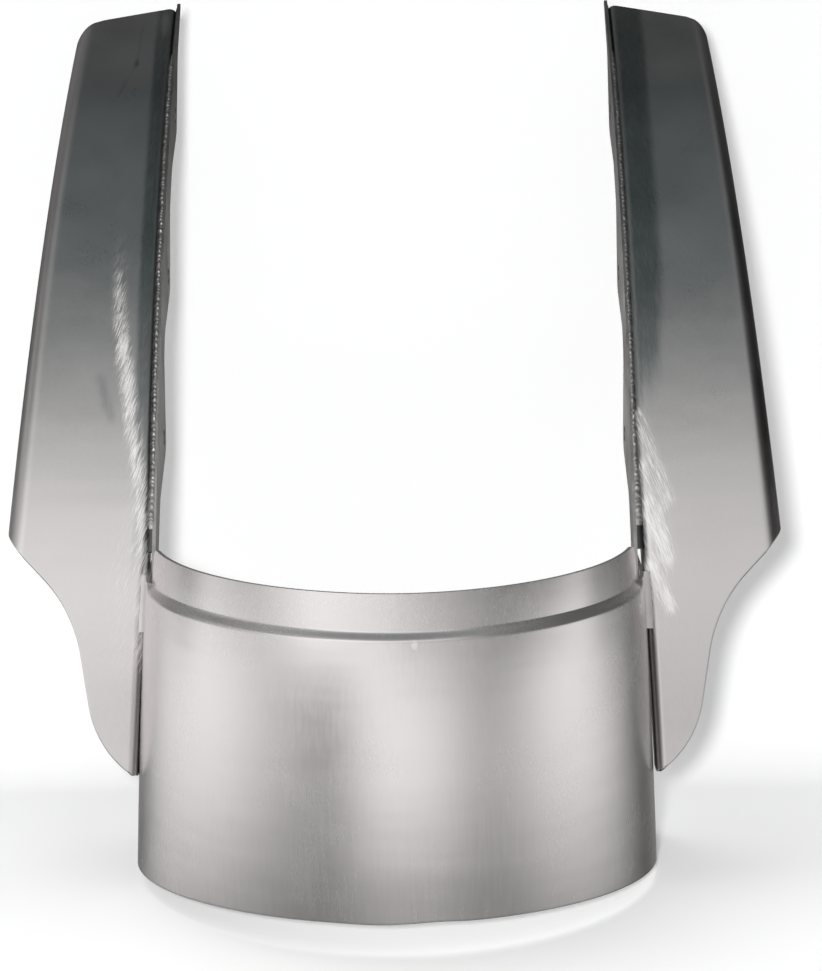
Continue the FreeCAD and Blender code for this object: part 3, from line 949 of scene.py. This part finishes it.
def panel_steel():
    """Bare rolled sheet, ground by hand beside the welds, with ground strokes made brighter as a painted
    highlight, dark oily marks, a darker band beside the inner edge, and painted shade on the inner turned
    edge and painted shadow beside the seam bead.
    """
    material, tree, shader = new_material("ground_sheet_steel")
    flat = add(tree, "ShaderNodeUVMap", uv_map="sheet").outputs[0]
    grain = readings_of(tree, GRAIN, {"Place": object_place(tree)})
    ground, smeared = [
        readings_of(tree, STROKES, {"Place": flat, "Mask": mask(tree, name), "Turn": turn})
        for name, turn in STROKE_TURNS.items()
    ]
    bright = ground["Stroke"]
    film = noise(tree, stretched(tree, flat, FILM_TURN, FILM_STRETCH), 1.0, 4.0, 0.6)
    film = mask(tree, "darkening") + (film - 0.5) * 0.7
    dark_share = between(film, 0.12, 0.85) * 0.6 + smeared["Stroke"] * 0.22
    across = mask(tree, "across")
    # Painted shadow: a thin dark line on the panel just past the seam bead's rim, where the bead would shade
    # it.
    weld_toe_shadow = between(across, 0.9, 1.5) * between(across, 1.6, 2.7, 1.0, 0.0)
    dark = larger(dark_share, weld_toe_shadow * 0.75)
    # Painted shade on the inner turned edge.
    dark = larger(dark, mask(tree, "return_shade") * 0.95)
    colour = shaded(tree, STEEL, grain["Shade"])
    colour = tint(tree, dark, colour, GRIME_AND_SHADE)
    # Painted highlight: ground marks take a pale colour and less metal, so that they read bright.
    colour = tint(tree, bright, colour, GROUND_STEEL_AND_HIGHLIGHT)
    feed(tree, blend(bright, 1.0, 0.6), shader.inputs["Metallic"])
    rough = blend(bright, grain["Rough"] + 0.32, 0.5)
    finish_steel(tree, shader, colour, rough, grain["Height"] + ground["Height"] * STROKE_HEIGHT)
    return material


def flange_steel():
    """Cut strip, duller and warmer than the panels, with patches of mill scale."""
    material, tree, shader = new_material("cut_strip_steel")
    place = object_place(tree)
    grain = readings_of(tree, GRAIN, {"Place": place, "Clouds": 2.2})
    scale = between(noise(tree, place, 55.0, 5.0, 0.6), 0.4, 0.7)
    colour = shaded(tree, tint(tree, scale, STRIP_STEEL, STRIP_SCALE), grain["Shade"])
    finish_steel(tree, shader, colour, grain["Rough"] + 0.42, grain["Height"])
    return material


def weld_steel():
    """Weld metal: painted glints of bright blobs on a darker bead, turning plain where it is ground flush,
    and near-black as the painted shade of a slit where it is fully flush.
    """
    material, tree, shader = new_material("rough_weld_metal")
    place = object_place(tree)
    pits = noise(tree, place, PIT_SCALE, 3.0, 0.6)
    # Painted glints: bright blobs along the bead's crest.
    share = mask(tree, "crest") * between(pits, 0.42, 0.6)
    cloth = between(noise(tree, place, 90.0, 4.0, 0.6), 0.3, 0.7, 0.0, 0.16)
    flush = mask(tree, "flush")
    colour = tint(tree, share, WELD_STEEL, WELD_PAINTED_GLINT)
    colour = tint(tree, flush, colour, tint(tree, cloth, STEEL, GRIME_AND_SHADE))
    # Painted shade: where the seam bead is fully flush, at both its ends, it turns near-black like a slit in
    # shade.
    colour = tint(tree, between(flush, 0.88, 0.97), colour, SLIT_PAINTED_SHADE)
    rough = blend(flush, blend(share, 0.5, 0.38), 0.34)
    finish_steel(tree, shader, colour, rough, pits * PIT_HEIGHT)
    return material


def dress(piece, material):
    piece.data.materials.clear()
    piece.data.materials.append(material)


# The object

SHELL_STEEL = shell_steel()
PANEL_STEEL = panel_steel()
FLANGE_STEEL = flange_steel()
WELD_METAL = weld_steel()

shell = centre_shell()
dress(shell, SHELL_STEEL)
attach(shell, "root")
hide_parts("centre_shell")

for word, side, seed in (("left", LEFT, 0.4), ("right", RIGHT, 2.9)):
    panel = side_panel(word + "_panel_sheet", side)
    dress(panel, PANEL_STEEL)
    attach(panel, "root")
    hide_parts(word + "_side_panel")
    for piece, node in (
        (seam_bead(word + "_seam_bead", side, seed), word + "_seam_weld"),
        (side_bead(word + "_side_bead", side, seed + 1.0), word + "_side_weld"),
    ):
        dress(piece, WELD_METAL)
        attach(piece, "root")
        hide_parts(node)
    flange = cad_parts[word + "_mounting_flange"]
    for holder in flange.material_slots:
        holder.material = FLANGE_STEEL


# Studio

WHITE = (1.0, 1.0, 1.0, 1.0)
PAPER = (0.72, 0.725, 0.722, 1.0)
PAPER_GLOW = 0.2
PAPER_HALF_WIDTH = 7.0
PAPER_FRONT = -7.0
PAPER_TURN = 0.035
PAPER_RADIUS = 0.05
PAPER_SLOPE = math.radians(62.0)
PAPER_LENGTH = 0.75
PAPER_DROP = 0.0002

# Tent: brightness by rise, the sine of the elevation
TENT_RADIUS = 4.0
TENT_RISE = (
    (-1.0, (0.16, 0.16, 0.16)),
    (-0.5, (0.27, 0.27, 0.27)),
    (-0.41, (0.39, 0.39, 0.39)),
    (-0.32, (0.66, 0.66, 0.66)),
    (-0.21, (1.08, 1.08, 1.08)),
    (-0.05, (1.34, 1.34, 1.34)),
    (0.1, (1.2, 1.2, 1.2)),
    (0.3, (0.68, 0.68, 0.68)),
    (0.42, (0.84, 0.84, 0.84)),
    (0.58, (1.13, 1.13, 1.13)),
    (0.66, (1.09, 1.09, 1.09)),
    (0.77, (0.83, 0.835, 0.835)),
    (0.85, (0.47, 0.487, 0.49)),
    (0.92, (0.182, 0.2, 0.203)),
    (0.97, (0.122, 0.146, 0.15)),
    (1.0, (0.075, 0.099, 0.102)),
)

# Gaps in the tent's walls: compass angle from the camera, width and depth
TENT_GAPS = (
    (-0.95, 0.4, 0.42),
    (-0.6, 0.3, 0.7),
    (0.8, 0.4, 0.6),
    (0.0, 0.4, 0.06),
    (2.38, 0.5, 0.93),
    (3.0, 0.35, 0.5),
    (-2.65, 0.42, 0.82),
)

KEY_PLACE = (-0.062, -1.34, 0.485)
KEY_TARGET = (0.0, 0.1, 0.15)
KEY_SIZE = 0.09
KEY_ENERGY = 16.0
TOP_PLACE = (-0.2, 0.4, 1.0)
TOP_TARGET = (0.0, 0.0, 0.0)
TOP_SPREAD = math.radians(35.0)
TOP_ENERGY = 0.95
AIR_LIGHT = 0.45

# Camera, and the photograph's height and its focal length in its own pixels
CAMERA_PLACE = (0.0069, -1.296, 0.421)
CAMERA_TIP = math.radians(78.0)
CAMERA_ROLL = -0.0081
SENSOR = 36.0
PHOTO_HEIGHT = 971.0
FOCAL_LENGTH = 3132.1


def emitter(tree, colour, strength):
    return add(tree, "ShaderNodeEmission", (("Color", colour), ("Strength", strength))).outputs[0]


def seen_directly(tree):
    """1 for camera, glossy and transmission rays, and 0 for the rest."""
    rays = add(tree, "ShaderNodeLightPath").outputs
    camera, glossy, through = [
        Reading(tree, rays[name]) for name in ("Is Camera Ray", "Is Glossy Ray", "Is Transmission Ray")
    ]
    return larger(larger(camera, glossy), through)


def stage_material(mesh, name):
    """Tree of a new material of a stage mesh, empty but for its output."""
    material = bpy.data.materials.new(name)
    material.use_nodes = True
    mesh.materials.append(material)
    tree = material.node_tree
    tree.nodes.remove(tree.nodes["Principled BSDF"])
    return tree


def finish_stage(tree, surface):
    feed(tree, surface, tree.nodes["Material Output"].inputs[0])


def studio_sweep():
    """Pale paper: a flat floor, an arc, and a straight slope behind the object. From its back it is clear."""
    a = np.linspace(0.0, PAPER_SLOPE, 16)[1:]
    y = np.concatenate([[PAPER_FRONT, PAPER_TURN], PAPER_TURN + PAPER_RADIUS * np.sin(a)])
    z = np.concatenate([[0.0, 0.0], PAPER_RADIUS * (1.0 - np.cos(a))])
    y = np.append(y, y[-1] + PAPER_LENGTH * math.cos(PAPER_SLOPE))
    z = np.append(z, z[-1] + PAPER_LENGTH * math.sin(PAPER_SLOPE))
    x = np.array([PAPER_HALF_WIDTH, -PAPER_HALF_WIDTH])[:, None]
    spots, quads = strip(np.stack(np.broadcast_arrays(x, y[None, :], z[None, :] - PAPER_DROP), axis=-1))
    mesh = bpy.data.meshes.new("studio_sweep")
    mesh.from_pydata(spots.tolist(), [], quads.tolist())
    mesh.shade_smooth()
    tree = stage_material(mesh, "pale_paper")
    matt = add(tree, "ShaderNodeBsdfDiffuse", (("Color", PAPER),)).outputs[0]
    glowing = add(tree, "ShaderNodeAddShader", ((0, matt), (1, emitter(tree, WHITE, PAPER_GLOW)))).outputs[0]
    lit = add(tree, "ShaderNodeMixShader", ((0, seen_directly(tree)), (1, matt), (2, glowing))).outputs[0]
    clear = add(tree, "ShaderNodeBsdfTransparent").outputs[0]
    back = add(tree, "ShaderNodeNewGeometry").outputs["Backfacing"]
    finish_stage(tree, add(tree, "ShaderNodeMixShader", ((0, back), (1, lit), (2, clear))).outputs[0])
    sweep = put_in_scene("studio_sweep", mesh)
    sweep.visible_glossy = False


def wall_level(x, y, z):
    """Brightness of the tent's walls: full but for gaps, each a bell curve of the compass angle."""
    compass = maths(x.tree, "ARCTAN2", x, y * -1.0)
    level = 1.0
    for centre, width, depth in TENT_GAPS:
        off = (compass - centre) * (1.0 / width)
        fall = maths(x.tree, "POWER", math.e, off * off * -1.0)
        level = level * (1.0 - fall * depth)
    lifted = between(y, 0.1, 0.4) * between(z, -0.1, 0.02)
    return level * (1.0 - lifted * 0.9)


def front_level(x, y, z):
    """Brightness of the tent higher up: only a front panel is bright, a little more so to the left."""
    wider = between(z, 0.4, 0.72, 0.3, 0.0)
    left = between(x + wider, -0.78, -0.32, 0.07, 1.0)
    right = between(x - wider, 0.36, 0.62, 1.0, 0.07)
    back = between(y, -0.05, 0.5, 1.0, 0.13)
    lean = 1.0 - x * between(z, 0.5, 0.9, 1.0, 0.2)
    return left * right * (back * lean)


def studio_tent():
    """Large tent round the object that only its reflections show."""
    mesh = bpy.data.meshes.new("studio_tent")
    work = bmesh.new()
    bmesh.ops.create_icosphere(work, subdivisions=4, radius=TENT_RADIUS)
    work.to_mesh(mesh)
    work.free()
    mesh.shade_smooth()
    tree = stage_material(mesh, "tent_cloth")
    way = add(tree, "ShaderNodeVectorMath", ((0, object_place(tree)),), operation="NORMALIZE").outputs[0]
    x, y, z = axes(tree, way)
    ramp = add(tree, "ShaderNodeValToRGB", ((0, z * 0.5 + 0.5),))
    stops = ramp.color_ramp.elements
    for stop, (rise, colour) in zip(stops, (TENT_RISE[0], TENT_RISE[-1])):
        stop.position = rise * 0.5 + 0.5
        stop.color = colour + (1.0,)
    for rise, colour in TENT_RISE[1:-1]:
        stops.new(rise * 0.5 + 0.5).color = colour + (1.0,)
    level = blend(between(z, 0.02, 0.22), wall_level(x, y, z), front_level(x, y, z))
    finish_stage(tree, emitter(tree, ramp.outputs[0], level))
    tent = put_in_scene("studio_tent", mesh)
    tent.visible_camera = False
    tent.visible_diffuse = False
    tent.visible_shadow = False
    tent.visible_transmission = False


def put_up(name, light, place, target):
    """A lamp at a place, turned to a target, that metal doesn't mirror."""
    lamp = put_in_scene(name, light)
    lamp.location = place
    lamp.rotation_euler = (Vector(target) - Vector(place)).to_track_quat("-Z", "Y").to_euler()
    lamp.visible_glossy = False
    lamp.visible_camera = False


def key_lamp():
    """Small soft disc just up and to the left of the camera, so that shadows fall a little down and right."""
    light = bpy.data.lights.new("key_lamp", "AREA")
    light.shape = "DISK"
    light.size = KEY_SIZE
    light.energy = KEY_ENERGY
    put_up("key_lamp", light, KEY_PLACE, KEY_TARGET)


def top_lamp():
    """Broad high light from behind, for a soft shadow on the floor in front of the shell."""
    light = bpy.data.lights.new("top_lamp", "SUN")
    light.energy = TOP_ENERGY
    light.angle = TOP_SPREAD
    put_up("top_lamp", light, TOP_PLACE, TOP_TARGET)


def studio_world():
    """Pale air: white to the eye, and a plain level as light."""
    world = bpy.data.worlds.new("studio_air")
    bpy.context.scene.world = world
    world.use_nodes = True
    tree = world.node_tree
    back = tree.nodes["Background"]
    back.inputs["Color"].default_value = WHITE
    feed(tree, blend(seen_directly(tree), AIR_LIGHT, 1.0), back.inputs["Strength"])


def studio_camera():
    """Camera of the photograph: 12 degrees down, a slight roll, and a long lens 1.3 m from the object."""
    data = bpy.data.cameras.new("camera")
    data.sensor_fit = "VERTICAL"
    data.sensor_height = SENSOR
    data.lens = FOCAL_LENGTH * SENSOR / PHOTO_HEIGHT
    data.dof.use_dof = False
    camera = put_in_scene("camera", data)
    place = Matrix.Translation(Vector(CAMERA_PLACE))
    camera.matrix_world = place @ Matrix.Rotation(CAMERA_TIP, 4, "X") @ Matrix.Rotation(CAMERA_ROLL, 4, "Z")
    bpy.context.scene.camera = camera


studio_sweep()
studio_tent()
key_lamp()
top_lamp()
studio_world()
studio_camera()
bpy.context.scene.view_settings.view_transform = "Standard"
